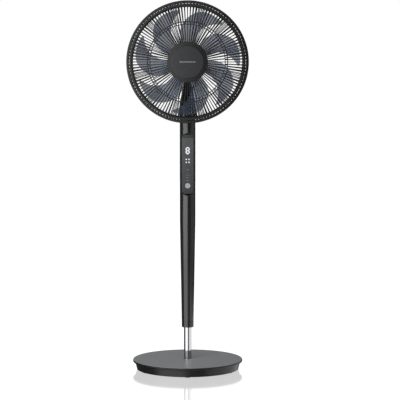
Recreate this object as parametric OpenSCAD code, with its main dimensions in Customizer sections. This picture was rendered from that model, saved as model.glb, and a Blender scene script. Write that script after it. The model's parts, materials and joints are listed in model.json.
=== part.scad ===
// Pedestal fan: a weighted round base, a chrome pole inside a tapered telescopic column with a
// control panel, an oscillating neck, and a tilting head with a seven-blade rotor in a ribbed cage.
// Millimetres. The origin is on the floor below the pole, +Z is up and the fan blows towards -Y.

/* [Overall] */
// Height of the blade axis above the floor
axis_z = 1030; // [1020:1:1060]

/* [Base] */
// Diameter of the base plate
base_d = 368; // [356:1:372]
// Height of the base plate's top face
base_h = 34; // [33:1:38]
// Number of rubber feet
foot_count = 6; // [3:1:6]
// Outer diameter of the weight ring
weight_d = 260; // [200:5:264]
// Thickness of the weight ring
weight_t = 12; // [6:1:16]

/* [Pole and column] */
// Diameter of the chrome pole
pole_d = 25; // [24:0.5:26]
// Height of the pole's upper end
pole_top = 470; // [440:5:480]
// Height of the locking collar's lower edge
collar_z = 142; // [135:1:150]
// Height of the locking collar
collar_h = 20; // [18:1:24]
// Diameter of the column at its lower end
column_low_d = 40; // [39:0.5:42]
// Diameter of the straight part of the column
column_d = 52; // [51:0.5:54]
// Height at which the taper ends
taper_top = 503; // [480:1:540]
// Height of the column's upper end
column_top = 903; // [900:1:910]
// Thickness of the column's wall
column_wall = 2.2; // [1.8:0.1:2.4]

/* [Control panel] */
// Distance of the flat panel from the column's axis
panel_y = 18; // [17.5:0.1:19]
// Height of the lower end of the lens
lens_low = 601; // [598:1:603]
// Height of the upper end of the lens
lens_high = 778; // [770:1:784]
// Height of the power button's centre
button_z = 619; // [617:1:622]
// Diameter of the power button
button_d = 16.5; // [14:0.5:17]
// Height of the speed digit's centre
digit_z = 736; // [732:1:740]
// Height of the speed digit
digit_h = 23.6; // [18:0.2:26]

/* [Fan head] */
// Outer diameter of the ring that clamps the two grilles together
head_d = 400; // [398:1:404]
// Ribs inside the front grille's middle ring
front_inner_ribs = 80; // [40:1:90]
// Ribs outside the front grille's middle ring
front_outer_ribs = 120; // [60:1:130]
// Ribs inside the rear grille's middle ring
rear_inner_ribs = 72; // [36:1:80]
// Ribs outside the rear grille's middle ring
rear_outer_ribs = 108; // [54:1:120]
// Width of a rib
rib_w = 2.8; // [1.6:0.1:3]
// Diameter of the badge disc
badge_d = 106; // [90:1:120]
// Outer diameter of the motor housing
housing_d = 116; // [112:1:118]

/* [Blades] */
// Number of blades
blade_count = 7; // [5:1:9]
// Diameter over the blade tips
blade_d = 348; // [320:1:350]
// Diameter of the blade hub
hub_d = 124; // [116:1:126]
// Angle by which a blade's tip is swept ahead of its root
blade_sweep = 31; // [10:1:40]
// Depth of the blades along their axis
blade_depth = 34; // [24:1:34]

/* [Oscillation gears] */
// Gear module
gear_module = 0.8; // [0.8:0.1:0.8]
// Teeth of the gear on the swivel shaft
gear_teeth = 28; // [28:1:28]
// Teeth of the motor's pinion
pinion_teeth = 12; // [12:1:12]

/* [Hidden] */
$fn = 96;

// Clearances: a running fit, and the gap between pieces that only pass each other
run = 0.05;
gap = 0.3;
// Overshoot of a cut past the face that it opens
cut = 1;

// Base
base_r = base_d / 2;
foot_h = 2;
pan_t = 2.5;
floor_top = foot_h + pan_t;
plate_t = 4;
plate_under = base_h - plate_t;
rim_low = base_h - 8;
skirt_top_r = base_r - 6;
skirt_low_r = skirt_top_r - 7;
foot_ring_r = skirt_low_r - 12;
boss_ring_r = skirt_low_r - 19;
boss_count = 6;
socket_r = 33;
socket_t = 4;
socket_screw_r = 24;
inlet_z = 14.5;

// Pole and column
pole_r = pole_d / 2;
pole_wall = 1.2;
pole_low = floor_top + socket_t;
column_r = column_d / 2;
column_low_r = column_low_d / 2;
column_low = collar_z + collar_h + gap;
shell_top = column_top - 4;
guide_z = 285;
bush_h = 20;
column_screw_zs = [pole_top + 107, lens_high + 42];
screw_seat = 20;

// Control panel
lens_t = 1.5;
lens_back = panel_y - lens_t;
backing_t = 1.5;
facet_margin = 5;
facet_slope = 10;
window_t = 0.8;
board_y = 12.9;
board_t = 1.5;
button_r = button_d / 2;
button_proud = 0.4;
icon_x = 4.5;
icon_zs = [digit_z - 29, digit_z - 39];
mark_zs = [digit_z - 63, digit_z - 82, digit_z - 90, digit_z - 100];

// Oscillation drive
gear_r = gear_module * gear_teeth / 2;
pinion_r = gear_module * pinion_teeth / 2;
gear_distance = gear_r + pinion_r;
gear_z = column_top - 25;
gear_t = 6;
osc_motor_r = 14;
osc_motor_h = 19;
osc_shaft_offset = 8;
osc_motor_y = gear_distance - osc_shaft_offset;
bracket_z = column_top - 35;
bracket_t = 2;
ear_x = 17.5;
swivel_r = 6.5;
swivel_wall = 2;
cap_hub_r = 11;
cap_hub_low = column_top - 16;
bush_r = 8;

// Neck and tilt hinge
tilt_z = axis_z - 72;
neck_w = 25;
neck_d = 24;
neck_r = column_r - 2;
neck_foot_t = 6;
neck_lip = 3;
lip_high = tilt_z - 3;
web_w = 38;
web_t = 5;
web_high = tilt_z - 9;
neck_low = column_top + 0.4;
slot_w = 10.4;
tongue_w = 8.8;
tongue_r = 11.5;
tilt_pin_r = 3;
tilt_head_r = 5;
tilt_head_t = 2.4;

// Fan head, with distances measured forward from the column's axis
housing_r = housing_d / 2;
housing_wall = 2.2;
housing_front = 57;
housing_split = 18;
housing_back = -45;
dome_r = 20;
thread_r = 20;
thread_end = 75;
bearing_r = 11;
bearing_w = 7;
front_bearing = 66.5;
rear_bearing = -14.5;
shaft_r = 4;
stator_r = 33;
stator_in = 17.6;
stator_low = 18;
stator_high = 44;
slot_count = 9;
half_slot = 180 / slot_count;
tooth_w = 4.4;
housing_screw_r = 47;
rear_hub_r = 62;
ring_r = head_d / 2;
ring_in = ring_r - 9.2;
ring_low = 98;
ring_high = 110;
rim_in = ring_r - 7.5;
rim_out = ring_r - 3;
rim_split = 104;
badge_r = badge_d / 2;
front_hub_r = 66;
badge_z = 150;
badge_t = 3;

// Blades
blade_r = blade_d / 2;
hub_r = hub_d / 2;
hub_wall = 2.5;
blade_mid = 105;
hub_low = blade_mid - blade_depth / 2 - 1.5;
hub_high = blade_mid + blade_depth / 2 + 1.5;
blade_root_r = hub_r + 6;
blade_t_root = 2.6;
blade_t_tip = 1.6;
root_chord = 36;
tip_chord = 31.6;
first_blade = 0.7;

// ---------------------------------------------------------------- shared shapes

// A ring from radius r1 to r2 and from height z1 to z2
module ring(r1, r2, z1, z2) {
  rotate_extrude() translate([r1, z1]) square([r2 - r1, z2 - z1]);
}

// A disc of radius r from height z1 to z2
module disc(r, z1, z2) {
  translate([0, 0, z1]) cylinder(r = r, h = z2 - z1);
}

// Repeats a shape n times around Z, the first at the angle start
module around(n, start = 0) {
  for (i = [0 : n - 1]) rotate([0, 0, start + 360 * i / n]) children();
}

// A cylinder along Y, from y1 to y2
module rod_y(r, y1, y2) {
  translate([0, y1, 0]) rotate([-90, 0, 0]) cylinder(r = r, h = y2 - y1);
}

// A cylinder along X, from x1 to x2
module rod_x(r, x1, x2) {
  translate([x1, 0, 0]) rotate([0, 90, 0]) cylinder(r = r, h = x2 - x1);
}

// A flat outline in Y and Z, made w thick across X
module side_plate(w) {
  rotate([90, 0, 90]) linear_extrude(w, center = true) children();
}

// The head's own frame: Z runs forward along the blade axis and Y is up
module head_frame() {
  translate([0, 0, axis_z]) rotate([90, 0, 0]) children();
}

// Outer radius of the column at a height
function column_radius(z) =
  column_low_r + (column_r - column_low_r)
  * min(1, max(0, (z - column_low) / (taper_top - column_low)));

// Inner radius of the column at a height
function column_inside(z) = column_radius(z) - column_wall;

// ---------------------------------------------------------------- base

module boss_places() around(boss_count, 0) translate([boss_ring_r, 0, 0]) children();

module socket_screw_places() around(4, 45) translate([socket_screw_r, 0, 0]) children();

module foot_places() around(foot_count, -90) translate([foot_ring_r, 0, 0]) children();

module base_plate() {
  color("#6c7073") difference() {
    union() {
      rotate_extrude() polygon([
        [pole_r + gap, plate_under], [pole_r + gap, base_h], [base_r - 2.4, base_h],
        [base_r - 0.7, base_h - 0.7], [base_r, base_h - 2.4], [base_r, rim_low + 2],
        [base_r - 1.5, rim_low], [skirt_top_r + gap, rim_low],
        [skirt_top_r + gap, plate_under]
      ]);
      boss_places() disc(5, floor_top + 0.2, plate_under + cut);
    }
    boss_places() disc(2, floor_top, plate_under - 4);
  }
}

module base_skirt() {
  color("#1f2123") difference() {
    rotate_extrude() polygon([
      [0, foot_h], [skirt_low_r, foot_h], [skirt_top_r, plate_under],
      [skirt_top_r - pan_t, plate_under], [skirt_low_r - pan_t, floor_top], [0, floor_top]
    ]);
    boss_places() disc(2.1, foot_h - cut, floor_top + cut);
    socket_screw_places() disc(2.6, foot_h - cut, floor_top + cut);
    foot_places() disc(3.05, foot_h - cut, floor_top + cut);
    translate([0, 0, inlet_z]) rod_y(5.3, skirt_low_r - 6, base_r);
  }
}

module base_weight() {
  color("#4a4b4d") ring(socket_r + 3, weight_d / 2, floor_top, floor_top + weight_t);
}

module pole_socket() {
  color("#9a9da0") difference() {
    union() {
      disc(socket_r, floor_top, pole_low);
      ring(pole_r, pole_r + 3, pole_low - cut, plate_under - gap);
    }
    socket_screw_places() disc(2.1, floor_top - cut, pole_low + cut);
    disc(5, floor_top - cut, pole_low + cut);
  }
}

// A pan-head screw that points up, with its head below z
module base_screw(z, r, length) {
  disc(4, z - 1.4, z);
  disc(r, z, z + length);
}

module base_screws() {
  color("#8a8d90") {
    boss_places() base_screw(foot_h, 1.9, 18);
    socket_screw_places() base_screw(foot_h, 2, 6.4);
  }
}

module rubber_feet() {
  color("#151515") foot_places() {
    disc(9.5, 0, foot_h);
    disc(3, foot_h, floor_top + 1);
  }
}

module power_inlet() {
  color("#2a2c2e") translate([0, 0, inlet_z]) difference() {
    union() {
      translate([-6, skirt_low_r - 15, -5.5]) cube([12, 11.5, 11]);
      rod_y(5, skirt_low_r - 4, skirt_low_r + 3);
    }
    difference() {
      rod_y(2.8, skirt_low_r - 9, skirt_low_r + 3 + cut);
      rod_y(1, skirt_low_r - 9, skirt_low_r + 1);
    }
  }
}

module chrome_pole() {
  color("#d4d6d8") ring(pole_r - pole_wall, pole_r, pole_low, pole_top);
}

module pole_end_cap() {
  inner = pole_r - pole_wall;
  color("#1c1d1f") rotate_extrude() polygon([
    [4, pole_top - 14], [inner, pole_top - 14], [inner, pole_top], [pole_r, pole_top],
    [pole_r - 0.8, pole_top + 2], [4, pole_top + 2]
  ]);
}

// ---------------------------------------------------------------- locking collar

module lock_collar() {
  color("#26282a") rotate_extrude() polygon([
    [pole_r + gap, collar_z], [column_low_r - 0.8, collar_z], [column_low_r, collar_z + 0.8],
    [column_low_r, collar_z + collar_h - 0.5], [column_low_r - 0.5, collar_z + collar_h],
    [pole_r + 3.8, collar_z + collar_h], [pole_r + 3.8, collar_z + 3], [pole_r + gap, collar_z + 3]
  ]);
}

// ---------------------------------------------------------------- column

module clamp_bush() {
  top = column_low + 34;
  color("#3a3c3e") difference() {
    rotate_extrude() polygon([
      [pole_r + run, collar_z + 3 + gap], [pole_r + 3.4, collar_z + 3 + gap],
      [pole_r + 3.4, column_low + 1], [column_inside(column_low + 1), column_low + 1],
      [column_inside(top), top], [pole_r + run, top]
    ]);
    around(4) translate([0, -0.8, collar_z]) cube([pole_r + 5, 1.6, collar_h - 2]);
  }
}

module guide_bush() {
  color("#3a3c3e") rotate_extrude() polygon([
    [pole_r + run, guide_z], [column_inside(guide_z), guide_z],
    [column_inside(guide_z + bush_h), guide_z + bush_h], [pole_r + run, guide_z + bush_h]
  ]);
}

// Half of the column's wall, on the +Y side, with the ledge that carries the motor bracket
module half_wall() {
  rotate_extrude(angle = 180) {
    polygon([
      [column_inside(column_low), column_low], [column_low_r, column_low],
      [column_r, taper_top], [column_r, shell_top], [column_r - column_wall, shell_top],
      [column_r - column_wall, taper_top]
    ]);
    translate([column_r - 3, bracket_z - 3.5]) square([2, 3.3]);
  }
}

module column_screw_places() for (z = column_screw_zs) translate([0, 0, z]) children();

module panel_cut() {
  facet_low = lens_low - facet_margin;
  facet_high = lens_high + facet_margin + 2;
  side_plate(column_d + 8) polygon([
    [-panel_y, facet_low], [-panel_y, facet_high],
    [-column_r - 2, facet_high + facet_slope + 2.5], [-column_r - 2, facet_low - facet_slope - 2.5]
  ]);
  translate([-column_r, -column_r - 4, lens_low])
    cube([column_d, column_r + 4 - lens_back, lens_high - lens_low]);
}

module column_front_shell() {
  backing_low = lens_low - facet_margin - 4;
  backing_high = lens_high + facet_margin + 6;
  color("#333537") difference() {
    union() {
      mirror([0, 1, 0]) half_wall();
      intersection() {
        translate([-column_r, -panel_y, backing_low])
          cube([column_d, panel_y - lens_back + backing_t, backing_high - backing_low]);
        disc(column_r - 1, backing_low - cut, backing_high + cut);
      }
      column_screw_places() rod_y(3.2, -column_r + 1.2, -2);
    }
    panel_cut();
    column_screw_places() rod_y(1.3, -15, -2 + cut);
    translate([0, 0, button_z]) rod_y(button_r + gap, -panel_y - cut, -board_y);
    translate([-10, -panel_y - cut, mark_zs[3] - 4])
      cube([20, 6, digit_z + 22 - mark_zs[3]]);
  }
}

module column_rear_shell() {
  color("#2c2e30") difference() {
    union() {
      half_wall();
      column_screw_places() rod_y(3.8, -1.7, column_r - 1.2);
    }
    column_screw_places() {
      rod_y(1.7, -3, column_r);
      rod_y(3.3, screw_seat, column_r + cut);
    }
  }
}

module column_screws() {
  color("#8a8d90") column_screw_places() {
    rod_y(3, screw_seat, screw_seat + 2.5);
    rod_y(1.25, -13, screw_seat);
  }
}

// ---------------------------------------------------------------- control panel

// One bar of the digit, a hexagon of length l and width w that lies along X
module digit_bar(l, w) {
  h = l / 2;
  polygon([[-h, 0], [-h + w / 2, w / 2], [h - w / 2, w / 2], [h, 0], [h - w / 2, -w / 2],
           [-h + w / 2, -w / 2]]);
}

// The seven bars of the digit, in X and Z, centred on the origin
module digit_outline() {
  w = digit_h * 0.17;
  half = digit_h / 2 - w / 2;
  bar = half - 0.8;
  wide = half * 0.5;
  for (row = [-1, 0, 1]) translate([0, row * half]) digit_bar(2 * wide - 0.8, w);
  for (side = [-1, 1], row = [-1, 1])
    translate([side * wide, row * half / 2]) rotate(90) digit_bar(bar, w);
}

// Puts an outline, drawn in X and Z, into the front of the lens at a height
module in_lens(z, depth) {
  translate([0, -panel_y + depth, z]) rotate([90, 0, 0]) linear_extrude(depth) children();
}

module lit_icons(depth) {
  for (z = icon_zs, x = [-icon_x, icon_x])
    translate([x, 0, 0]) in_lens(z, depth) circle(2.6);
}

module dim_marks(depth) {
  for (z = mark_zs) in_lens(z, depth) square([9, 1.2], center = true);
}

module control_lens() {
  color("#4b4d50") difference() {
    intersection() {
      translate([-column_r, -panel_y, lens_low + 0.2])
        cube([column_d, lens_t, lens_high - lens_low - 0.4]);
      disc(column_r - 0.1, lens_low - cut, lens_high + cut);
    }
    in_lens(digit_z, window_t) digit_outline();
    lit_icons(window_t);
    dim_marks(window_t);
    translate([0, 0, button_z]) rod_y(button_r + gap, -panel_y - cut, -lens_back + cut);
  }
}

module display_digit() {
  color("#ffffff") in_lens(digit_z, window_t) digit_outline();
}

module mode_icons() {
  color("#e8ecf0") {
    lit_icons(window_t);
    dim_marks(window_t);
  }
}

module display_module() {
  low = mark_zs[3] - 3;
  color("#e6e6e2") translate([-9, -lens_back + 0.1, low])
    cube([18, lens_back - 0.1 - board_y, digit_z + 16 - low]);
}

module control_board() {
  color("#1f5a33") translate([-14.5, -board_y, lens_low - 3])
    cube([29, board_t, lens_high - lens_low - 4]);
}

module power_switch() {
  color("#303234") translate([0, 0, button_z]) difference() {
    translate([-3, -board_y - 3, -3]) cube([6, 3, 6]);
    rod_y(1.4, -board_y - 4, -board_y - 1.2);
  }
}

module power_button() {
  front = -panel_y - button_proud;
  back = -board_y - 1.3;
  color("#b9bcbe") translate([0, 0, button_z]) union() {
    difference() {
      union() {
        rod_y(button_r, front, back);
        rod_y(button_r + 1, back - 0.7, back);
      }
      rod_y(button_r - 1.5, front + 1.5, back + cut);
    }
    rod_y(1.2, front + 1, -board_y - 2.3);
  }
}

module button_symbol() {
  color("#3c3e40") translate([0, -panel_y - button_proud, button_z]) rotate([90, 0, 0])
    linear_extrude(0.15) {
      difference() {
        circle(3.6);
        circle(2.9);
        translate([0, 3]) square([2.6, 4], center = true);
      }
      translate([0, 2.6]) square([0.7, 3.6], center = true);
    }
}

// ---------------------------------------------------------------- oscillation drive

// Outline of a spur gear with straight-flanked teeth, the first one centred on +X
module gear_outline(teeth) {
  pitch = 360 / teeth;
  r = gear_module * teeth / 2;
  root = r - 1.15 * gear_module;
  tip = r + 0.9 * gear_module;
  polygon([
    for (i = [0 : teeth - 1], p = [[-0.31, root], [-0.11, tip], [0.11, tip], [0.31, root]])
      p[1] * [cos(pitch * (i + p[0])), sin(pitch * (i + p[0]))]
  ]);
}

module top_cap() {
  color("#232527") rotate_extrude() polygon([
    [bush_r, cap_hub_low], [cap_hub_r, cap_hub_low], [cap_hub_r, column_top - 8],
    [column_r - column_wall - 0.1, column_top - 8], [column_r - column_wall - 0.1, shell_top],
    [column_r, shell_top], [column_r, column_top - 1.2], [column_r - 1.2, column_top],
    [bush_r, column_top]
  ]);
}

module swivel_bush() {
  color("#e2ddc8") ring(swivel_r + run, bush_r, cap_hub_low, column_top);
}

module motor_bracket() {
  color("#9a9da0") difference() {
    disc(column_r - column_wall - 0.2, bracket_z, bracket_z + bracket_t);
    translate([0, gear_distance, 0]) disc(4.8, bracket_z - cut, bracket_z + bracket_t + cut);
    for (x = [-ear_x, ear_x])
      translate([x, osc_motor_y, 0]) disc(1.6, bracket_z - cut, bracket_z + bracket_t + cut);
    translate([0, -14, 0]) disc(4, bracket_z - cut, bracket_z + bracket_t + cut);
  }
}

module osc_motor() {
  color("#b4b7ba") translate([0, osc_motor_y, 0]) difference() {
    union() {
      disc(osc_motor_r, bracket_z - osc_motor_h, bracket_z);
      translate([-ear_x, -3.5, bracket_z - 1]) cube([2 * ear_x, 7, 1]);
      for (x = [-ear_x, ear_x]) translate([x, 0, 0]) disc(3.5, bracket_z - 1, bracket_z);
      translate([0, osc_shaft_offset, 0]) disc(4.5, bracket_z - cut, bracket_z + 1.5);
    }
    translate([0, osc_shaft_offset, 0]) disc(2.5 + run, bracket_z - 6, bracket_z + 1.5 + cut);
    for (x = [-ear_x, ear_x]) translate([x, 0, 0]) disc(1.6, bracket_z - 3, bracket_z + cut);
  }
}

module bracket_screws() {
  color("#8a8d90") for (x = [-ear_x, ear_x]) translate([x, osc_motor_y, 0]) {
    disc(2.8, bracket_z - 3, bracket_z - 1);
    disc(1.5, bracket_z - 1, bracket_z + bracket_t + 1);
  }
}

module osc_pinion() {
  color("#d9d4c0") translate([0, gear_distance, gear_z]) linear_extrude(gear_t) difference() {
    rotate(180 / pinion_teeth) gear_outline(pinion_teeth);
    circle(2.5);
  }
}

module pinion_shaft() {
  color("#b4b7ba") translate([0, gear_distance, 0]) disc(2.5, bracket_z - 5.5, gear_z + gear_t + 1);
}

module osc_gear() {
  color("#d9d4c0") translate([0, 0, gear_z]) linear_extrude(gear_t) difference() {
    gear_outline(gear_teeth);
    circle(swivel_r);
  }
}

module gear_clip() {
  color("#8a8d90") ring(swivel_r, swivel_r + 2.2, gear_z - 1.2, gear_z);
}

module swivel_shaft() {
  color("#b4b7ba") ring(swivel_r - swivel_wall, swivel_r, gear_z - 3, column_top + 5);
}

// ---------------------------------------------------------------- neck and tilt hinge

module neck_post() {
  color("#232527") difference() {
    union() {
      rotate_extrude() polygon([
        [0, neck_low], [neck_r, neck_low], [neck_r, neck_low + neck_foot_t - 2],
        [neck_r - 2, neck_low + neck_foot_t], [0, neck_low + neck_foot_t]
      ]);
      side_plate(neck_w) union() {
        translate([-neck_d / 2, neck_low + 2]) square([neck_d, tilt_z - neck_low - 2]);
        translate([0, tilt_z]) circle(neck_d / 2);
      }
      translate([-neck_w / 2, -neck_d / 2 - neck_lip, neck_low + 2])
        cube([neck_w, neck_lip + cut, lip_high - neck_low - 2]);
      translate([-web_w / 2, neck_d / 2 - web_t, neck_low + 2])
        cube([web_w, web_t, web_high - neck_low - 2]);
    }
    translate([-slot_w / 2, -neck_d / 2, tilt_z - neck_d / 2 - 0.6])
      cube([slot_w, 2 * neck_d, 40]);
    disc(swivel_r, neck_low - cut, column_top + 5);
    disc(swivel_r - swivel_wall, neck_low, tilt_z);
    translate([0, 0, tilt_z]) {
      rod_x(tilt_pin_r, -neck_w, neck_w);
      rod_x(tilt_head_r + 0.2, neck_w / 2 - tilt_head_t - 0.2, neck_w);
      rod_x(tilt_head_r + 0.2, -neck_w, -neck_w / 2 + tilt_head_t + 0.2);
    }
  }
}

module tilt_bolt() {
  head_x = -neck_w / 2 + 0.2;
  color("#8a8d90") translate([0, 0, tilt_z]) {
    rod_x(tilt_head_r, head_x, head_x + tilt_head_t);
    rod_x(tilt_pin_r, head_x + tilt_head_t, neck_w / 2 - 0.5);
  }
}

module tilt_nut() {
  outer = neck_w / 2 - 0.2;
  color("#8a8d90") translate([0, 0, tilt_z]) difference() {
    rod_x(tilt_head_r, outer - tilt_head_t, outer);
    rod_x(tilt_pin_r, outer - tilt_head_t - cut, outer + cut);
  }
}

module tilt_washers() {
  color("#b4b7ba") translate([0, 0, tilt_z]) for (side = [0, 1]) mirror([side, 0, 0])
    difference() {
      rod_x(9, slot_w / 2 - 0.5, slot_w / 2);
      rod_x(tilt_pin_r + 0.1, slot_w / 2 - 1, slot_w / 2 + 1);
    }
}

// ---------------------------------------------------------------- motor housing

module housing_screw_places() around(4, 45) translate([housing_screw_r, 0, 0]) children();

module motor_housing_front() {
  color("#242628") head_frame() difference() {
    union() {
      rotate_extrude() polygon([
        [5, housing_front - 3.5], [housing_r - housing_wall, housing_front - 3.5],
        [housing_r - housing_wall, housing_split], [housing_r, housing_split],
        [housing_r, housing_front - 2], [housing_r - 2, housing_front],
        [thread_r, housing_front], [thread_r, thread_end], [bearing_r, thread_end],
        [bearing_r, front_bearing], [5, front_bearing]
      ]);
      ring(stator_r, stator_r + 2.5, stator_low + 2, housing_front - 3);
      housing_screw_places() disc(4, housing_split, housing_front - 3);
    }
    housing_screw_places() disc(1.55, housing_split - cut, housing_front - 6);
  }
}

// Outline of the rear shell's wall, its rounded edge drawn as an arc
function dome_points(r, inset) = [
  for (a = [0 : 10 : 90])
    [r - dome_r + (dome_r - inset) * cos(a), housing_back + dome_r - (dome_r - inset) * sin(a)]
];

module motor_housing_rear() {
  outer = dome_points(housing_r, 0);
  inner = dome_points(housing_r, housing_wall);
  inner_back = housing_back + housing_wall;
  color("#242628") difference() {
    union() {
      head_frame() {
        rotate_extrude() polygon(concat(
          [[housing_r, housing_split]], outer, [[0, housing_back], [0, inner_back]],
          [for (i = [len(inner) - 1 : -1 : 0]) inner[i]],
          [[housing_r - housing_wall, housing_split]]
        ));
        disc(15, inner_back - 1, rear_bearing + bearing_w + 1);
        housing_screw_places() disc(4.5, housing_back + 6, housing_split);
      }
      side_plate(tongue_w) union() {
        translate([0, tilt_z]) circle(tongue_r);
        polygon([[-tongue_r, tilt_z], [tongue_r, tilt_z],
                 [14, axis_z - housing_r + 1.5], [-14, axis_z - housing_r + 1.5]]);
      }
    }
    head_frame() {
      disc(bearing_r, rear_bearing, rear_bearing + bearing_w + 1 + cut);
      disc(shaft_r + 1, rear_bearing - 3, rear_bearing + cut);
      housing_screw_places() {
        disc(1.8, housing_back + 20, housing_split + cut);
        disc(3.6, housing_back - cut, housing_back + 25);
      }
      around(24) translate([18, -1.2, housing_back - cut]) cube([15, 2.4, housing_wall + cut + 1]);
    }
    translate([0, 0, tilt_z]) rod_x(tilt_pin_r + run, -tongue_w, tongue_w);
  }
}

module housing_screws() {
  color("#8a8d90") head_frame() housing_screw_places() {
    disc(3.2, housing_back + 22.5, housing_back + 25);
    disc(1.5, housing_back + 25, housing_front - 8);
  }
}

// Point of a flat outline at radius r and angle a
function polar(r, a) = r * [cos(a), sin(a)];

// The stator's bore and slots, which leave teeth of width tooth_w between them
module stator_slots() {
  root = stator_in + 8;
  tip_a = asin(tooth_w / 2 / stator_in);
  root_a = asin(tooth_w / 2 / root);
  polygon([
    for (i = [0 : slot_count - 1]) let (a = half_slot * (2 * i + 1)) each [
      polar(root, a - root_a), polar(stator_in, a - tip_a), polar(stator_in, a + tip_a),
      polar(root, a + root_a), polar(root, a + half_slot)
    ]
  ]);
}

module stator_core() {
  color("#6a6c6e") head_frame() translate([0, 0, stator_low])
    linear_extrude(stator_high - stator_low) difference() {
      circle(stator_r);
      stator_slots();
    }
}

module stator_coils() {
  color("#b06a33") head_frame() around(slot_count, half_slot) difference() {
    translate([stator_in + 1.4, -4.4, stator_low - 3])
      cube([6, 8.8, stator_high - stator_low + 6]);
    translate([stator_in, -tooth_w / 2 - 0.05, stator_low - 0.05])
      cube([9, tooth_w + 0.1, stator_high - stator_low + 0.1]);
  }
}

module driver_board() {
  color("#1f5a33") head_frame() ring(16, 40, -4, -2.4);
}

module shaft_bearings() {
  color("#a6a9ac") head_frame() for (z = [front_bearing, rear_bearing])
    ring(shaft_r + 0.03, bearing_r, z, z + bearing_w);
}

// ---------------------------------------------------------------- grilles

// Ribs around the blade axis, each an outline in radius and depth made rib_w thick
module ribs(n, start = 0) {
  around(n, start) translate([0, rib_w / 2, 0]) rotate([90, 0, 0]) linear_extrude(rib_w) children();
}

// The hole for the ring's locking screw, at the bottom of the head
module ring_screw_hole(r) rotate([90, 0, 0]) disc(r, rim_in - 2, ring_r + 2);

module rim(low, high) difference() {
  ring(rim_in, rim_out, low, high);
  translate([0, 0, rim_split]) ring_screw_hole(1.4);
}

module rear_grille() {
  color("#1d1e20") head_frame() {
    ring(thread_r + gap, rear_hub_r, housing_front + gap, housing_front + 4);
    ring(122.2, 124.8, 66.4, 71.2);
    ring(180.5, 188.4, 77, 81);
    rim(ring_low + 2, rim_split - 0.1);
    ribs(rear_inner_ribs) polygon([
      [rear_hub_r - 1.5, 57.5], [123.5, 66.6], [123.5, 71], [rear_hub_r - 1.5, 60.8]
    ]);
    ribs(rear_outer_ribs) polygon([
      [123.5, 66.6], [174, 72.6], [182, 75.6], [187.4, 82], [190.1, 97.7], [190.3, 100.3],
      [193, 100.6], [193, 103], [187.2, 103], [187, 98], [184.4, 83.4], [180.4, 79.4], [173, 76.8],
      [123.5, 71]
    ]);
  }
}

module front_grille() {
  color("#1d1e20") head_frame() {
    disc(front_hub_r, badge_z - 7, badge_z - badge_t - 0.1);
    ring(128.7, 131.3, 137.6, 142.6);
    ring(179.8, 189, 119.6, 126);
    rim(rim_split + 0.1, ring_high - 2);
    ribs(front_inner_ribs) polygon([
      [front_hub_r - 1.2, 143.2], [100, 141.6], [130, 138], [130, 142.4], [100, 145.4],
      [front_hub_r - 1.2, 146.6]
    ]);
    ribs(front_outer_ribs) polygon([
      [130, 138], [158, 133], [173, 128.4], [178.6, 125.4], [183, 119.4], [187, 109], [187.2, 105],
      [193, 105], [193, 107.5], [190.3, 107.8], [190.1, 110.4], [187, 120.6], [182.6, 127.4],
      [176, 131.8], [160, 137.2], [130, 142.4]
    ]);
  }
}

module grille_lock_nut() {
  color("#2e3032") head_frame() difference() {
    ring(thread_r + 0.1, 31, housing_front + 4.2, housing_front + 12);
    around(12) translate([31.5, 0, 0]) disc(2, housing_front, housing_front + 14);
  }
}

module grille_ring() {
  color("#303234") head_frame() difference() {
    rotate_extrude() polygon([
      [ring_in, ring_low], [ring_r - 1.5, ring_low], [ring_r, ring_low + 1.5],
      [ring_r, ring_high - 1.5], [ring_r - 1.5, ring_high], [ring_in, ring_high],
      [ring_in, ring_high - 1.9], [rim_out + 0.1, ring_high - 1.9],
      [rim_out + 0.1, ring_low + 1.9], [ring_in, ring_low + 1.9]
    ]);
    translate([0, 0, rim_split]) ring_screw_hole(1.4);
  }
}

module ring_screw() {
  color("#8a8d90") head_frame() translate([0, 0, rim_split]) rotate([90, 0, 0])
    disc(1.3, rim_in + 0.5, ring_r - 0.3);
}

module badge() {
  color("#37383c") head_frame() rotate_extrude() polygon([
    [0, badge_z - badge_t], [badge_r, badge_z - badge_t], [badge_r, badge_z - 1],
    [badge_r - 1, badge_z], [0, badge_z]
  ]);
}

module badge_mark() {
  color("#a9abad") head_frame() translate([-26, -1.6, badge_z]) cube([52, 3.2, 0.3]);
}

// ---------------------------------------------------------------- rotor

// How far out along a blade a radius is, from 0 at the root to 1 at the tip
function blade_share(r) = max(0, (r - blade_root_r) / (blade_r - blade_root_r));

// Narrowing towards the rounded tip
function tip_factor(s) = s < 0.88 ? 1 : pow(max(0.03, 1 - pow((s - 0.88) / 0.12, 3)), 1 / 3);

// A point of the blade's middle surface: c runs from -1, the trailing edge, to 1, the leading one
function blade_point(r, c, side) =
  let (s = blade_share(r),
       half = (root_chord + (tip_chord - root_chord) * s) / 2 * tip_factor(s),
       a = blade_sweep * pow(s, 2.1) + c * half,
       camber = 2.2 * (1 - c * c),
       t = (blade_t_root + (blade_t_tip - blade_t_root) * s) * (1 - 0.6 * c * c))
  [r * sin(a), r * cos(a),
   blade_mid - c * tip_factor(s) * (blade_depth / 2 - 0.8) + camber + side * t / 2];

// Two triangles for the quad of corners a, b, c, d
function quad(a, b, c, d) = [[a, c, b], [a, d, c]];

function flat(lists) = [for (l = lists) for (v = l) v];

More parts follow.
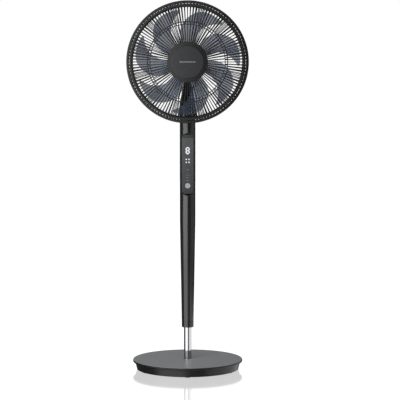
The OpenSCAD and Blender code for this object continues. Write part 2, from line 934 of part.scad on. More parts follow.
module blade() {
  steps = 10;
  across = 6;
  shares = [for (i = [0 : steps]) i / steps];
  root = hub_r - hub_wall / 2;
  radii = [for (s = shares) root + (blade_r - root) * (1 - pow(1 - s, 1.5))];
  cs = [for (j = [0 : across]) -1 + 2 * j / across];
  row = across + 1;
  sheet = row * (steps + 1);
  points = flat([for (side = [-1, 1]) flat([for (r = radii) [for (c = cs) blade_point(r, c, side)]])]);
  under = flat([for (i = [0 : steps - 1], j = [0 : across - 1])
    let (p = i * row + j) quad(p, p + row, p + row + 1, p + 1)]);
  over = flat([for (i = [0 : steps - 1], j = [0 : across - 1])
    let (p = sheet + i * row + j) quad(p, p + 1, p + row + 1, p + row)]);
  ends = flat([for (j = [0 : across - 1]) let (p = j, q = steps * row + j) concat(
    quad(p, p + 1, sheet + p + 1, sheet + p), quad(q + 1, q, sheet + q, sheet + q + 1))]);
  edges = flat([for (i = [0 : steps - 1]) let (p = i * row, q = i * row + across) concat(
    quad(p + row, p, sheet + p, sheet + p + row), quad(q, q + row, sheet + q + row, sheet + q))]);
  polyhedron(points = points, faces = concat(under, over, ends, edges));
}

module fan_blade() {
  color([0.36, 0.39, 0.44]) head_frame() difference() {
    union() {
      rotate_extrude() polygon([
        [shaft_r, hub_low + 9.5], [9, hub_low + 9.5], [9, hub_high - 3],
        [hub_r - hub_wall, hub_high - 3], [hub_r - hub_wall, hub_low], [hub_r, hub_low],
        [hub_r, hub_high - 2], [hub_r - 2, hub_high], [shaft_r, hub_high]
      ]);
      for (i = [0 : blade_count - 1]) rotate([0, 0, -first_blade - 360 * i / blade_count]) blade();
    }
    translate([-10, -1.3, hub_low + 9]) cube([20, 2.6, 3.2]);
  }
}

module motor_shaft() {
  color("#b4b7ba") head_frame() difference() {
    disc(shaft_r, rear_bearing - 1.5, hub_high + 3);
    translate([0, 0, hub_low + 10.8]) rod_x(1.2, -shaft_r - cut, shaft_r + cut);
  }
}

module drive_pin() {
  color("#8a8d90") head_frame() translate([0, 0, hub_low + 10.8]) rod_x(1.2, -8, 8);
}

module rotor_magnet() {
  color("#3f4144") head_frame() ring(shaft_r, stator_in - 0.6, stator_low, stator_high);
}

module spinner_nut() {
  color("#232527") head_frame() difference() {
    rotate_extrude() polygon([
      [0, hub_high + 0.1], [15, hub_high + 0.1], [15, hub_high + 3], [13, hub_high + 6],
      [8, hub_high + 8], [0, hub_high + 8.6]
    ]);
    disc(shaft_r, hub_high - cut, hub_high + 3.2);
  }
}

// ---------------------------------------------------------------- nodes

base_plate();
base_skirt();
base_weight();
pole_socket();
base_screws();
rubber_feet();
power_inlet();
chrome_pole();
pole_end_cap();
lock_collar();
clamp_bush();
guide_bush();
column_front_shell();
column_rear_shell();
column_screws();
control_lens();
display_digit();
mode_icons();
display_module();
control_board();
power_switch();
top_cap();
swivel_bush();
motor_bracket();
osc_motor();
bracket_screws();
power_button();
button_symbol();
osc_pinion();
pinion_shaft();
neck_post();
swivel_shaft();
osc_gear();
gear_clip();
tilt_bolt();
tilt_nut();
tilt_washers();
motor_housing_front();
motor_housing_rear();
housing_screws();
stator_core();
stator_coils();
driver_board();
shaft_bearings();
rear_grille();
grille_lock_nut();
front_grille();
grille_ring();
ring_screw();
badge();
badge_mark();
motor_shaft();
rotor_magnet();
fan_blade();
spinner_nut();
drive_pin();
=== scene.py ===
"""Looks of the pedestal fan: chamfered cage ribs, swept smoke-blue blades, a turned base cover, moulded
plastic, chrome and lit windows, in a white product studio. Metres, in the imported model's frame."""

import json
import math

import bpy
from mathutils import Matrix, Vector


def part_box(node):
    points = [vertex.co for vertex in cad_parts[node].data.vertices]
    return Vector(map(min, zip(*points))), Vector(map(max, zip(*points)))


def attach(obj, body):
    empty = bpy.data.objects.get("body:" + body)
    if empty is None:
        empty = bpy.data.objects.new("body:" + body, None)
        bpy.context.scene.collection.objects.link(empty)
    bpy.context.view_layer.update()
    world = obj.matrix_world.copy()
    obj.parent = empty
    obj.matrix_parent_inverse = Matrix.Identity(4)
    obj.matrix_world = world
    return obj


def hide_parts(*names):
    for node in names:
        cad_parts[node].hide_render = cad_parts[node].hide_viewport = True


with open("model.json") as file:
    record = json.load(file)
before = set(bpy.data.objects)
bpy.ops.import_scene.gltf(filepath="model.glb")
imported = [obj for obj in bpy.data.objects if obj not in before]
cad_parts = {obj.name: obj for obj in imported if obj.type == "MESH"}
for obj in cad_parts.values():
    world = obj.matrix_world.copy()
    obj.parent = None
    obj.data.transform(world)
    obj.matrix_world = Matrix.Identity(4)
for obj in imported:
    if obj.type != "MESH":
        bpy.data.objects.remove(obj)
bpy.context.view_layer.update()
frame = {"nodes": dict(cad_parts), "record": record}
nodes = frame["nodes"]
MM = 0.001


# ---------------------------------------------------------------- measures from the frame

def middle(node):
    """Centre of a node's box"""
    low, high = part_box(node)
    return (low + high) / 2


def radius(node):
    """Half the length of a round node's box along X, in millimetres"""
    low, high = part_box(node)
    return (high.x - low.x) / MM / 2


def forward(node):
    """How far in front of the column's axis a node starts and ends, in millimetres"""
    low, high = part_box(node)
    return -high.y / MM, -low.y / MM


axis_z = middle("grille_ring").z
head_r = radius("grille_ring")
ring_back, ring_front = forward("grille_ring")
badge_back, badge_front = forward("badge")
badge_r = radius("badge")
hub_back, hub_front = forward("fan_blade")
base_r = radius("base_plate")
base_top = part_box("base_plate")[1].z / MM
pole_r = radius("chrome_pole")

# Pieces are drawn in millimetres. On the head Z is forward along the blade axis and Y is up, on the
# panel Z is forward and Y is the height over the floor, and on the base Z is up.
QUARTER = math.radians(90)
HEAD = Matrix.Translation((0, 0, axis_z)) @ Matrix.Rotation(QUARTER, 4, "X") @ Matrix.Scale(MM, 4)
PANEL = Matrix.Rotation(QUARTER, 4, "X") @ Matrix.Scale(MM, 4)
BASE = Matrix.Scale(MM, 4)


# ---------------------------------------------------------------- mesh tools

def smooth_line(points, steps):
    """A Catmull-Rom line through the points, each a tuple of numbers, with some steps between two"""
    line = []
    last = len(points) - 1
    for i in range(last):
        before = points[max(i - 1, 0)]
        after = points[min(i + 2, last)]
        for k in range(steps):
            t = k / steps
            line.append(tuple(
                0.5 * (2 * b + (c - a) * t + (2 * a - 5 * b + 4 * c - d) * t * t
                       + (3 * b - a - 3 * c + d) * t ** 3)
                for a, b, c, d in zip(before, points[i], points[i + 1], after)
            ))
    line.append(tuple(points[last]))
    return line


# The largest share of an edge that the rounding of one corner takes
CORNER_SHARE = 0.49


def rounded(corners, usual, steps=4):
    """A closed outline with its corners rounded; a corner may carry its own radius as a third number"""
    outline = []
    count = len(corners)
    for i, corner in enumerate(corners):
        here = Vector(corner[:2])
        to_last = Vector(corners[i - 1][:2]) - here
        to_next = Vector(corners[(i + 1) % count][:2]) - here
        wish = corner[2] if len(corner) > 2 else usual
        if wish <= 0:
            outline.append(tuple(here))
            continue
        half = to_last.angle(to_next) / 2
        reach = min(wish / math.tan(half), to_last.length * CORNER_SHARE, to_next.length * CORNER_SHARE)
        start = here + to_last.normalized() * reach
        end = here + to_next.normalized() * reach
        for k in range(steps + 1):
            t = k / steps
            outline.append(tuple((1 - t) ** 2 * start + 2 * t * (1 - t) * here + t * t * end))
    return outline


def turned(outline, segments=160):
    """Vertices and faces of a closed outline, in radius and height, turned about Z"""
    count = len(outline)
    points = []
    for s in range(segments):
        angle = 2 * math.pi * s / segments
        points += [(r * math.cos(angle), r * math.sin(angle), h) for r, h in outline]
    faces = []
    for s in range(segments):
        a = s * count
        b = (s + 1) % segments * count
        for i in range(count):
            j = (i + 1) % count
            faces.append((a + i, b + i, b + j, a + j))
    return points, faces


def bar(path, bevel):
    """A chamfered bar along a path of (radius, height, depth, width) points"""
    points = []
    for i, (r, h, depth, width) in enumerate(path):
        before = Vector(path[max(i - 1, 0)][:2])
        after = Vector(path[min(i + 1, len(path) - 1)][:2])
        along = (after - before).normalized()
        out = Vector((-along.y, along.x))
        w, d = width / 2, depth / 2
        for u, v in ((w, d - bevel), (w - bevel, d), (bevel - w, d), (-w, d - bevel),
                     (-w, bevel - d), (bevel - w, -d), (w - bevel, -d), (w, bevel - d)):
            points.append((r + out.x * v, u, h + out.y * v))
    sides = 8
    faces = [tuple(range(sides))]
    for i in range(len(path) - 1):
        for k in range(sides):
            a, b = i * sides + k, i * sides + (k + 1) % sides
            faces.append((a, a + sides, b + sides, b))
    faces.append(tuple(range(len(points) - 1, len(points) - sides - 1, -1)))
    return points, faces


def repeated(shape, count, start=0):
    """A shape repeated evenly about Z"""
    points, faces = shape
    all_points, all_faces = [], []
    for i in range(count):
        turn = Matrix.Rotation(start + 2 * math.pi * i / count, 3, "Z")
        offset = len(all_points)
        all_points += [tuple(turn @ Vector(p)) for p in points]
        all_faces += [tuple(v + offset for v in face) for face in faces]
    return all_points, all_faces


def piece(name, place, shapes, body, replaced, crease=38):
    """One object made of several shapes, in place, smooth up to the crease angle, riding on its body"""
    points, faces = [], []
    for shape_points, shape_faces in shapes:
        offset = len(points)
        points += shape_points
        faces += [tuple(v + offset for v in face) for face in shape_faces]
    mesh = bpy.data.meshes.new(name)
    mesh.from_pydata([place @ Vector(p) for p in points], [], faces)
    mesh.validate()
    mesh.shade_smooth()
    mesh.set_sharp_from_angle(angle=math.radians(crease))
    obj = bpy.data.objects.new(name, mesh)
    bpy.context.scene.collection.objects.link(obj)
    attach(obj, body)
    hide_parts(*replaced)
    return obj


# ---------------------------------------------------------------- materials

# Noise seldom leaves this range, so it is stretched over it
NOISE_LOW = 0.3
NOISE_HIGH = 0.7


class Shader:
    """A material's node tree, built up one node at a time"""

    def __init__(self, name):
        self.material = bpy.data.materials.new(name)
        self.material.use_nodes = True
        self.tree = self.material.node_tree
        self.tree.nodes.clear()
        self.output = self.tree.nodes.new("ShaderNodeOutputMaterial")
        self.place = self.tree.nodes.new("ShaderNodeTexCoord").outputs["Object"]

    def node(self, kind, **values):
        """A new node, with sockets named by keywords that have _ for a space"""
        made = self.tree.nodes.new("ShaderNode" + kind)
        for key, value in values.items():
            self.put(made, key.replace("_", " "), value)
        return made

    def put(self, node, name, value):
        """Sets or links an input socket"""
        socket = node.inputs[name]
        if isinstance(value, bpy.types.NodeSocket):
            self.tree.links.new(value, socket)
        else:
            socket.default_value = value

    def noise(self, size, detail=2.0, stretch=(1, 1, 1)):
        """Noise with features of a size in metres, stretched along the axes"""
        mapping = self.node("Mapping", Vector=self.place)
        mapping.inputs["Scale"].default_value = [1 / (size * s) for s in stretch]
        texture = self.node("TexNoise", Vector=mapping.outputs["Vector"], Scale=1.0, Detail=detail)
        return texture.outputs["Fac"]

    def ranged(self, value, low, high):
        """A noise value spread over a range"""
        spread = self.node("MapRange", Value=value, From_Min=NOISE_LOW, From_Max=NOISE_HIGH,
                           To_Min=low, To_Max=high)
        return spread.outputs["Result"]

    def mixed(self, factor, first, second):
        """A colour between two, by a factor"""
        mix = self.tree.nodes.new("ShaderNodeMix")
        mix.data_type = "RGBA"
        self.tree.links.new(factor, mix.inputs["Factor"])
        for name, colour in (("A", first), ("B", second)):
            socket = next(s for s in mix.inputs if s.name == name and s.type == "RGBA")
            socket.default_value = (*colour, 1)
        return next(s for s in mix.outputs if s.type == "RGBA")

    def bump(self, height, strength, distance, below=None):
        """A relief from a height, laid over the relief below it"""
        relief = self.node("Bump", Height=height, Strength=strength, Distance=distance)
        if below is not None:
            self.put(relief, "Normal", below)
        return relief.outputs["Normal"]

    def finish(self, shader):
        """Links the last shader and gives the material"""
        self.tree.links.new(shader.outputs[0], self.output.inputs["Surface"])
        return self.material


def shaded(colour, share):
    """A colour made lighter or darker by a share"""
    return [min(1.0, c * share) for c in colour]


def moulded(name, colour, roughness, grain=0.00035, depth=0.00002, blotch=0.05, spread=0.12, **extra):
    """Moulded plastic or paint: fine grain, soft blotches of tone, and roughness that varies"""
    s = Shader(name)
    large = s.noise(blotch, 3.0)
    fine = s.noise(grain, 2.0)
    tone = s.mixed(s.ranged(large, 0, 1), shaded(colour, 1 - spread), shaded(colour, 1 + spread))
    rough = s.ranged(large, roughness * 0.88, roughness * 1.12)
    wave = s.bump(large, 0.25, 0.0001)
    relief = s.bump(fine, 0.6, depth, wave)
    shader = s.node("BsdfPrincipled", Roughness=rough, Normal=relief)
    s.put(shader, "Base Color", tone)
    for key, value in extra.items():
        s.put(shader, key.replace("_", " "), value)
    return s.finish(shader)


def lens(name, top, bottom, high, low, roughness):
    """Smooth dark plastic with a painted reflection: its tone falls off from its top to its bottom,
    heights in metres
    """
    s = Shader(name)
    split = s.node("SeparateXYZ", Vector=s.place)
    # Painted reflection: the tone is lighter towards the top and darker towards the bottom
    painted_reflection_fall = s.node("MapRange", Value=split.outputs["Z"], From_Min=low, From_Max=high)
    tone = s.mixed(painted_reflection_fall.outputs["Result"], bottom, top)
    cloud = s.noise(0.02, 2.0)
    relief = s.bump(s.noise(0.0003), 0.5, 0.000005)
    shader = s.node("BsdfPrincipled", Roughness=s.ranged(cloud, roughness * 0.9, roughness * 1.1),
                    Normal=relief)
    s.put(shader, "Base Color", tone)
    return s.finish(shader)


def metal(name, colour, roughness, grain, stretch, depth):
    """Metal with fine drawn marks that run along the stretch"""
    s = Shader(name)
    marks = s.noise(grain, 4.0, stretch)
    cloud = s.noise(0.03, 3.0)
    tone = s.mixed(s.ranged(cloud, 0, 1), shaded(colour, 0.96), shaded(colour, 1.04))
    rough = s.ranged(cloud, roughness * 0.8, roughness * 1.25)
    relief = s.bump(marks, 0.4, depth)
    shader = s.node("BsdfPrincipled", Metallic=1.0, Roughness=rough, Normal=relief)
    s.put(shader, "Base Color", tone)
    return s.finish(shader)


def winding(name, colour):
    """Enamelled wire laid in rows"""
    s = Shader(name)
    wave = s.node("TexWave", Vector=s.place, Scale=900.0, Distortion=0.6)
    wave.bands_direction = "Z"
    tone = s.mixed(wave.outputs["Fac"], shaded(colour, 0.5), shaded(colour, 1.2))
    relief = s.bump(wave.outputs["Fac"], 0.8, 0.0004)
    shader = s.node("BsdfPrincipled", Metallic=0.8, Roughness=0.35, Normal=relief)
    s.put(shader, "Base Color", tone)
    return s.finish(shader)


def smoke(name, colour, alpha):
    """Clear tinted plastic that dims what is behind it, with faint flow marks along the blade"""
    s = Shader(name)
    flow = s.noise(0.02, 3.0, (1, 3, 1))
    fine = s.noise(0.0006, 1.0)
    tone = s.mixed(s.ranged(flow, 0, 1), shaded(colour, 0.85), shaded(colour, 1.15))
    rough = s.ranged(flow, 0.16, 0.26)
    wave = s.bump(flow, 0.3, 0.0002)
    relief = s.bump(fine, 0.3, 0.00001, wave)
    shader = s.node("BsdfPrincipled", Roughness=rough, Normal=relief, Alpha=alpha)
    s.put(shader, "Base Color", tone)
    return s.finish(shader)


def glowing(name, colour, strength):
    """A light window: milky plastic, darker than its light, lit from behind"""
    s = Shader(name)
    cloud = s.noise(0.004, 2.0)
    tone = s.mixed(s.ranged(cloud, 0, 1), shaded(colour, 0.36), shaded(colour, 0.42))
    relief = s.bump(s.noise(0.0004), 0.2, 0.00001)
    shader = s.node("BsdfPrincipled", Roughness=0.35, Normal=relief)
    s.put(shader, "Base Color", tone)
    s.put(shader, "Emission Color", (*colour, 1))
    s.put(shader, "Emission Strength", strength)
    return s.finish(shader)


materials = {
    "satin_base": moulded("satin_base", (0.182, 0.193, 0.202), 0.43, grain=0.0005, depth=0.00002,
                          blotch=0.08, spread=0.06),
    "black_plastic": moulded("black_plastic", (0.007, 0.0072, 0.0076), 0.34, Specular_IOR_Level=0.25),
    "column_plastic": moulded("column_plastic", (0.01, 0.0104, 0.011), 0.2, grain=0.0003,
                              depth=0.000006),
    # The lens's lighter top is a painted reflection, not a tone of the plastic
    "panel_lens": lens("panel_lens", top=(0.04, 0.0415, 0.044), bottom=(0.011, 0.0115, 0.013),
                       high=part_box("control_lens")[1].z, low=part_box("control_lens")[0].z,
                       roughness=0.24),
    "lit_display": glowing("lit_display", (0.92, 0.95, 1.0), strength=0.5),
    "button_plastic": moulded("button_plastic", (0.3, 0.31, 0.325), 0.32),
    "badge_plastic": moulded("badge_plastic", (0.017, 0.0175, 0.019), 0.4, grain=0.0003, depth=0.00001,
                             blotch=0.06, spread=0.05, Specular_IOR_Level=0.25),
    "mark_print": moulded("mark_print", (0.15, 0.154, 0.16), 0.3),
    "smoke_blade": smoke("smoke_blade", (0.115, 0.155, 0.24), alpha=0.6),
    "chrome": metal("chrome", (0.42, 0.42, 0.43), 0.05, grain=0.0006, stretch=(1, 1, 60), depth=0.000002),
    "plain_steel": metal("plain_steel", (0.5, 0.5, 0.5), 0.3, grain=0.0004, stretch=(1, 8, 8),
                         depth=0.00001),
    "cast_weight": moulded("cast_weight", (0.06, 0.06, 0.062), 0.6, grain=0.0012, depth=0.0002),
    "black_rubber": moulded("black_rubber", (0.011, 0.011, 0.011), 0.75, grain=0.0006, depth=0.00006),
    "grey_nylon": moulded("grey_nylon", (0.05, 0.05, 0.055), 0.45),
    "white_plastic": moulded("white_plastic", (0.68, 0.66, 0.58), 0.4),
    "circuit_board": moulded("circuit_board", (0.01, 0.11, 0.04), 0.3, grain=0.001, depth=0.00005,
                             blotch=0.006, spread=0.3),
    "copper_winding": winding("copper_winding", (0.55, 0.24, 0.1)),
}


def dress(obj, slot):
    """Gives a piece the finish of one of the record's material slots"""
    obj.data.materials.clear()
    obj.data.materials.append(materials[slot])


for part in frame["record"]["subparts"]:
    cad = nodes[part["node"]]
    cad.data.materials.clear()
    cad.data.materials.append(materials[part["material_slot"]])


# ---------------------------------------------------------------- cage

# Widths of a rib in the open part of the cage and at its rim, and the chamfer of its edges
RIB_W = 2.8
RIM_W = 4
BEVEL = 0.6

# How many ribs there are inside and outside the middle ring
FRONT_INNER_COUNT = 80
FRONT_OUTER_COUNT = 120
REAR_INNER_COUNT = 72
REAR_OUTER_COUNT = 108

# Centre lines of the ribs as (radius, distance forward, depth of the rib, width of the rib)
FRONT_INNER = [(64.8, 145, 3.3, RIB_W), (82, 144.6, 3.6, RIB_W), (100, 143.5, 3.8, RIB_W),
               (130, 140.2, 4.4, RIB_W)]
FRONT_OUTER = [(130, 140.2, 4.4, RIB_W), (146, 138, 4.3, RIB_W), (159.5, 135, 4.1, RIB_W),
               (174.6, 130, 3.7, 3.5), (181, 126.1, 3.5, 4.4), (185.2, 119.9, 3.5, RIM_W),
               (188.3, 110.2, 3.3, RIM_W), (188.8, 106, 3.2, RIM_W)]
REAR_INNER = [(60.8, 59.2, 3.3, RIB_W), (92, 63.9, 3.8, RIB_W), (123.5, 68.8, 4.4, RIB_W)]
REAR_OUTER = [(123.5, 68.8, 4.4, RIB_W), (149, 71.7, 4.3, RIB_W), (173.5, 74.7, 4.2, 3),
              (181.2, 77.6, 4, RIM_W), (186, 83, 3.3, RIM_W), (188.5, 97.8, 3.1, RIM_W),
              (188.8, 102, 3.1, RIM_W)]
FRONT_FOOT = [(188.4, 106.3, 2.3, RIM_W), (193, 106.3, 2.3, RIM_W)]
REAR_FOOT = [(188.4, 101.8, 2.3, RIM_W), (193, 101.8, 2.3, RIM_W)]

# The flange of each cage half, which the clamp ring holds, and how far it is from the ring's edge
FLANGE_IN = head_r - 7.5
FLANGE_OUT = head_r - 3
FLANGE_NEAR = 2
FLANGE_FAR = 5.9


def ribs(centre_line, count):
    """Ribs along a smoothed centre line, evenly about the axis"""
    return repeated(bar(smooth_line(centre_line, 4), BEVEL), count)


def hoop(r1, r2, z1, z2, edge=0.8):
    """A ring from radius r1 to r2 and from height z1 to z2 with rounded edges"""
    return turned(rounded([(r1, z1), (r2, z1), (r2, z2), (r1, z2)], edge))


def front_cage():
    """Front ribs with their feet, the disc round the badge, the middle ring, the corner and the flange"""
    hub_r = badge_r + 13
    hub_face = badge_back - 0.1
    hub_rear = badge_front - 7
    hub_disc = turned(rounded([
        (0, hub_rear, 0), (hub_r, hub_rear), (hub_r, hub_face, 1.6), (0, hub_face, 0)
    ], 0.7))
    obj = piece("front_cage", HEAD, [
        ribs(FRONT_INNER, FRONT_INNER_COUNT), ribs(FRONT_OUTER, FRONT_OUTER_COUNT),
        ribs(FRONT_FOOT, FRONT_OUTER_COUNT), hub_disc,
        hoop(128.5, 131.5, 137.6, 142.6), hoop(179.8, 189, 119.6, 126, 2.2),
        hoop(FLANGE_IN, FLANGE_OUT, ring_front - FLANGE_FAR, ring_front - FLANGE_NEAR),
    ], "head", ["front_grille"])
    dress(obj, "black_plastic")


def rear_cage():
    """Rear ribs with their feet, the plate at the motor, the middle ring, the corner and the flange"""
    obj = piece("rear_cage", HEAD, [
        ribs(REAR_INNER, REAR_INNER_COUNT), ribs(REAR_OUTER, REAR_OUTER_COUNT),
        ribs(REAR_FOOT, REAR_OUTER_COUNT),
        hoop(20.3, 62, 57.3, 61), hoop(122.2, 124.8, 66.4, 71.2), hoop(178.8, 188.4, 77, 81, 1.8),
        hoop(FLANGE_IN, FLANGE_OUT, ring_back + FLANGE_NEAR, ring_back + FLANGE_FAR),
    ], "head", ["rear_grille"])
    dress(obj, "black_plastic")


def clamp_ring():
    """The ring that holds the two cage halves, a C in section with a softly crowned outside"""
    lip = 1.9
    crown = 3
    inner = head_r - 9.2
    wall = head_r - 2.9
    edge = head_r - 1.2
    obj = piece("clamp_ring", HEAD, [turned(rounded([
        (inner, ring_back), (edge, ring_back, 1.4), (head_r, ring_back + crown, 2.5),
        (head_r, ring_front - crown, 2.5), (edge, ring_front, 1.4), (inner, ring_front),
        (inner, ring_front - lip), (wall, ring_front - lip),
        (wall, ring_back + lip), (inner, ring_back + lip),
    ], 0.4), 240)], "head", ["grille_ring"])
    dress(obj, "black_plastic")


front_cage()
rear_cage()
clamp_ring()


# ---------------------------------------------------------------- badge

def badge_disc():
    """The badge's disc, with a soft slope of some width round its face"""
    slope = 2.2
    obj = piece("badge_disc", HEAD, [turned(rounded([
        (0, badge_back, 0), (badge_r, badge_back, 0.3), (badge_r, badge_front - 1.4, 0.9),
        (badge_r - slope, badge_front - 0.05, 2.5), (0, badge_front, 0)
    ], 0.5), 200)], "head", ["badge"])
    dress(obj, "badge_plastic")


badge_disc()


# ---------------------------------------------------------------- lights of the panel

# Lit windows and dim marks, as drops below the digit's middle and sizes
LIT_DROPS = (29, 39)
LIT_X = (-4.5, 4.5)
LIT_R = 2.3
MARK_DROPS = (63, 82, 90, 100)
MARK_W = 9
MARK_H = 1.2


def tile(outline, back, front):
    """A flat tile with an outline in X and height, from back to front"""
    count = len(outline)
    points = [(x, y, z) for z in (back, front) for x, y in outline]
    faces = [tuple(range(count - 1, -1, -1)), tuple(range(count, 2 * count))]
    faces += [(i, (i + 1) % count, (i + 1) % count + count, i + count) for i in range(count)]
    return points, faces


def round_tile(x, y, back, front):
    """A lit window"""
    sides = 40
    return tile([(x + LIT_R * math.cos(2 * math.pi * i / sides),
                  y + LIT_R * math.sin(2 * math.pi * i / sides)) for i in range(sides)], back, front)


def long_tile(y, back, front):
    """A dim mark with round ends"""
    w, h = MARK_W / 2, MARK_H / 2
    return tile(rounded([(-w, y - h), (w, y - h), (w, y + h), (-w, y + h)], h * 0.6), back, front)


def panel_lights():
    """Four lit windows under the digit, and four marks that stay dim"""
    back, front = forward("mode_icons")
    digit_z = middle("display_digit").z / MM
    lit = piece("lit_icons", PANEL, [
        round_tile(x, digit_z - drop, back, front) for drop in LIT_DROPS for x in LIT_X
    ], "column", ["mode_icons"])
    dress(lit, "lit_display")
    dim = piece("dim_marks", PANEL, [
        long_tile(digit_z - drop, back, front) for drop in MARK_DROPS
    ], "column", ["mode_icons"])
    dress(dim, "mark_print")


panel_lights()


# ---------------------------------------------------------------- rotor

BLADES = 7
ROOT_R = 68
TIP_R = radius("fan_blade")
HUB_R = 62
HUB_WALL = 2.5
MIDDLE = (hub_back + hub_front) / 2
HALF_DEPTH = (hub_front - hub_back) / 2 - 2.3
FIRST_BLADE = math.radians(0.7)

# How far a blade's tip is turned from its root about the axis, and the power with which it turns
SWEEP = math.radians(31)
SWEEP_POWER = 2.1
# A blade's width about the axis at its root, and how much narrower it is at its tip, in degrees
ROOT_WIDTH = 36
WIDTH_LOSS = 4.4
# The share of a blade's length at which its tip starts to round off, and the least value under the
# cube root that rounds it
TIP_START = 0.88
TIP_LEAST = 0.03
# A blade's thickness at its root, the share of it lost at its edges, and how far its middle stands out
THICKNESS = 2.6
EDGE_LOSS = 0.6
CAMBER = 2.2


def blade_point(r, c, h):
    """A point of a blade: c runs from -1 at the trailing edge to 1, and h is -1 or 1 at a face"""
    s = max(0.0, (r - ROOT_R) / (TIP_R - ROOT_R))
    past = max(0.0, s - TIP_START) / (1 - TIP_START)
    tip = max(TIP_LEAST, 1 - past ** 3) ** (1 / 3)
    half = math.radians(ROOT_WIDTH - WIDTH_LOSS * s) / 2 * tip
    angle = SWEEP * s ** SWEEP_POWER + c * half
    thick = (THICKNESS - s) * (1 - EDGE_LOSS * c * c)
    z = MIDDLE - c * tip * HALF_DEPTH + CAMBER * (1 - c * c) + h * thick / 2
    return r * math.sin(angle), r * math.cos(angle), z


def blade():
    """One blade: a closed section with round edges, swept from the hub to the tip"""
    rows, around = 44, 44
    points, faces = [], []
    start = HUB_R - HUB_WALL / 2
    for i in range(rows + 1):
        r = start + (TIP_R - start) * (1 - (1 - i / rows) ** 1.7)
        for k in range(around):
            turn = 2 * math.pi * k / around
            side = math.copysign(abs(math.sin(turn)) ** 0.6, math.sin(turn))
            points.append(blade_point(r, math.cos(turn), side))
    for i in range(rows):
        for k in range(around):
            a, b = i * around + k, i * around + (k + 1) % around
            faces.append((a, b, b + around, a + around))
    faces.append(tuple(range(around - 1, -1, -1)))
    faces.append(tuple(range(rows * around, (rows + 1) * around)))
    return points, faces


def blade_rotor():
    """The cup over the motor, its sleeve on the shaft and the seven blades, as one moulding"""
    inner = HUB_R - HUB_WALL
    face = hub_front - 3
    bore = 4
    sleeve_r = 9
    sleeve_end = hub_back + 9.5
    cup = turned(rounded([
        (bore, sleeve_end, 0), (sleeve_r, sleeve_end), (sleeve_r, face), (inner, face, 2),
        (inner, hub_back), (HUB_R, hub_back), (HUB_R, hub_front - 0.2, 3.4), (bore, hub_front, 0)
    ], 0.6))
    blades = repeated(blade(), BLADES, -FIRST_BLADE)
    obj = piece("blade_rotor", HEAD, [cup, blades], "rotor", ["fan_blade"], 50)
    dress(obj, "smoke_blade")


blade_rotor()


# ---------------------------------------------------------------- base

def base_pieces():
    """The base's satin top, which it gives, and the black band that edges it"""
    hole_r = pole_r + 0.3
    under = base_top - 4
    ledge = base_top - 1.2
    band_in = base_r - 5.7
    cover = piece("base_cover", BASE, [turned(rounded([
        (hole_r, under), (hole_r, base_top, 0.8), (base_r - 0.9, base_top, 1.1),
        (base_r - 1.2, ledge), (band_in, ledge), (band_in, under)
    ], 0.2, 6), 256)], "base", ["base_plate"])
    dress(cover, "satin_base")
    band_top = base_top - 1.1
    band_low = base_top - 8
    band = piece("base_band", BASE, [turned(rounded([
        (band_in, band_top), (base_r - 0.8, band_top, 0.3), (base_r, base_top - 2.2, 1.2),
        (base_r, base_top - 5.5, 1.5), (base_r - 1.5, band_low), (band_in, band_low)
    ], 0.4, 5), 256)], "base", ["base_plate"])
    dress(band, "black_plastic")
    return cover


satin_top = base_pieces()


# ---------------------------------------------------------------- studio

# An area light of so many watts per square metre has a luminance of 1
WATTS_PER_AREA = 4
# The floor that only reflections see lies a little under the one that the camera sees
FLOOR_R = 9.0
FLOOR_GAP = 0.0005


def fresh_collection(name, members):
    """A collection for a light to be linked to"""
    made = bpy.data.collections.new(name)
    for member in members:
        made.objects.link(member)
    return made


def disc_floor(name, surface, seen):
    """A round floor that either only the camera sees or only the other rays see"""
    mesh = bpy.data.meshes.new(name)
    sides = 96
    rim = [(FLOOR_R * math.cos(2 * math.pi * i / sides), FLOOR_R * math.sin(2 * math.pi * i / sides), 0)
           for i in range(sides)]
    mesh.from_pydata(rim, [], [tuple(range(sides))])
    mesh.materials.append(surface)
    floor = bpy.data.objects.new(name, mesh)
    bpy.context.scene.collection.objects.link(floor)
    floor.location.z = 0.0 if seen else -FLOOR_GAP
    floor.visible_camera = seen
    floor.visible_diffuse = not seen
    floor.visible_glossy = not seen
    floor.visible_transmission = not seen
    floor.visible_shadow = not seen
    return floor


def gloss_and_glow(name, gloss, roughness, glow):
    """A mirror-like sheen over an even glow"""
    s = Shader(name)
    shine = s.node("BsdfGlossy", Color=(gloss, gloss, gloss, 1), Roughness=roughness)
    light = s.node("Emission", Color=(1, 1, 1, 1), Strength=glow)
    both = s.tree.nodes.new("ShaderNodeAddShader")
    s.tree.links.new(light.outputs[0], both.inputs[0])
    s.tree.links.new(shine.outputs[0], both.inputs[1])
    return s.finish(both)


def softbox(name, azimuth, distance, width, height, low, luminance, receivers=None):
    """A vertical panel of light that faces the fan; azimuth 0 is the fan's front, positive to its +X"""
    data = bpy.data.lights.new(name, "AREA")
    data.shape = "RECTANGLE"
    data.size = width
    data.size_y = height
    data.energy = luminance * width * height * WATTS_PER_AREA
    light = bpy.data.objects.new(name, data)
    bpy.context.scene.collection.objects.link(light)
    a = math.radians(azimuth)
    light.location = (distance * math.sin(a), -distance * math.cos(a), low + height / 2)
    light.rotation_euler = (QUARTER, 0, a)
    light.visible_camera = False
    if receivers is not None:
        light.light_linking.receiver_collection = receivers
    return light


def sector(name, start, end, distance, luminance, receivers=None, height=2.4, low=0.02):
    """A softbox that fills the azimuths from start to end, seen from the column"""
    width = 2 * distance * math.tan(math.radians(end - start) / 2)
    return softbox(name, (start + end) / 2, distance, width, height, low, luminance, receivers)


def overhead(name, height, size, luminance, receivers=None):
    """A square panel of light that faces down over the fan"""
    data = bpy.data.lights.new(name, "AREA")
    data.size = size
    data.energy = luminance * size * size * WATTS_PER_AREA
    light = bpy.data.objects.new(name, data)
    bpy.context.scene.collection.objects.link(light)
    light.location = (0, 0, height)
    light.visible_camera = False
    if receivers is not None:
        light.light_linking.receiver_collection = receivers
    return light


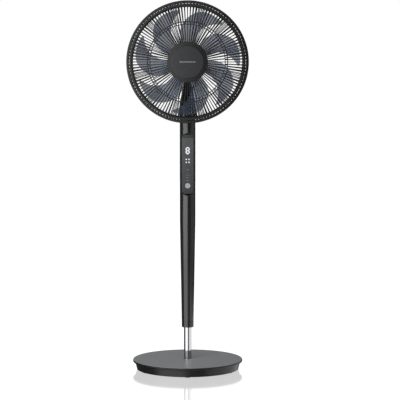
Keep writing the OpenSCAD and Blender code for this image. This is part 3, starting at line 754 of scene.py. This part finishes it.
def studio_world():
    """White behind everything that the camera sees, and a dim room for light and reflections"""
    world = bpy.data.worlds.new("studio")
    bpy.context.scene.world = world
    world.use_nodes = True
    tree = world.node_tree
    tree.nodes.clear()
    seen = tree.nodes.new("ShaderNodeBackground")
    room = tree.nodes.new("ShaderNodeBackground")
    room.inputs["Color"].default_value = (0.04, 0.04, 0.04, 1)
    seen.inputs["Color"].default_value = (1, 1, 1, 1)
    choose = tree.nodes.new("ShaderNodeMixShader")
    output = tree.nodes.new("ShaderNodeOutputWorld")
    tree.links.new(tree.nodes.new("ShaderNodeLightPath").outputs["Is Camera Ray"], choose.inputs[0])
    tree.links.new(room.outputs[0], choose.inputs[1])
    tree.links.new(seen.outputs[0], choose.inputs[2])
    tree.links.new(choose.outputs[0], output.inputs["Surface"])


def photo_camera():
    """A long lens far in front of the fan, at the height of its head, looking slightly down"""
    data = bpy.data.cameras.new("camera")
    data.lens = 152.9
    data.sensor_width = 36
    camera = bpy.data.objects.new("camera", data)
    bpy.context.scene.collection.objects.link(camera)
    camera.location = (0, -5.663, 1.03)
    camera.rotation_euler = (math.radians(85.355), 0, math.radians(-0.418))
    bpy.context.scene.camera = camera


studio_world()
floor_seen = disc_floor(
    "floor_seen", gloss_and_glow("floor_seen", gloss=0.39, roughness=0.1, glow=0.61), seen=True)
floor_mirror = disc_floor(
    "floor_mirror", gloss_and_glow("floor_mirror", gloss=0.8, roughness=0.06, glow=0.02), seen=False)
photo_camera()

# Light on everything
sector("key_left", start=-72, end=-2, distance=2.0, luminance=2.7)
sector("fill_right", start=46, end=112, distance=2.0, luminance=0.4)
overhead("top_box", height=3.2, size=2.4, luminance=1.2)

# The stripes on the chrome pole, which sees part of them through the mirror floor
pole_only = fresh_collection("pole_only", [nodes["chrome_pole"], floor_mirror])
sector("pole_front", start=0, end=46, distance=1.9, luminance=0.3, receivers=pole_only)
sector("pole_right", start=46, end=150, distance=1.2, luminance=1.2, receivers=pole_only)

# Light on the dark shells at the back, which would be black from behind
rear_only = fresh_collection("rear_only", [nodes[name] for name in (
    "column_rear_shell", "column_screws", "motor_housing_front", "motor_housing_rear", "neck_post",
    "top_cap", "grille_lock_nut"
)])
sector("rear_key", start=112, end=178, distance=2.2, luminance=2.4, receivers=rear_only)
sector("rear_fill", start=200, end=262, distance=2.2, luminance=0.9, receivers=rear_only)

# The sheen on the base's satin top
base_only = fresh_collection("base_only", [satin_top])
softbox("base_sheen", azimuth=170, distance=3.0, width=5.0, height=1.6, low=0.05, luminance=0.33,
        receivers=base_only)

# White walls and a white ceiling for the floor's gloss
floor_only = fresh_collection("floor_only", [floor_seen])
for side in range(4):
    softbox(f"cove_{side}", azimuth=90 * side, distance=9.5, width=19, height=9, low=0.0, luminance=1.0,
            receivers=floor_only)
overhead("cove_top", height=9.0, size=19, luminance=1.0, receivers=floor_only)

bpy.context.scene.view_settings.view_transform = "Standard"
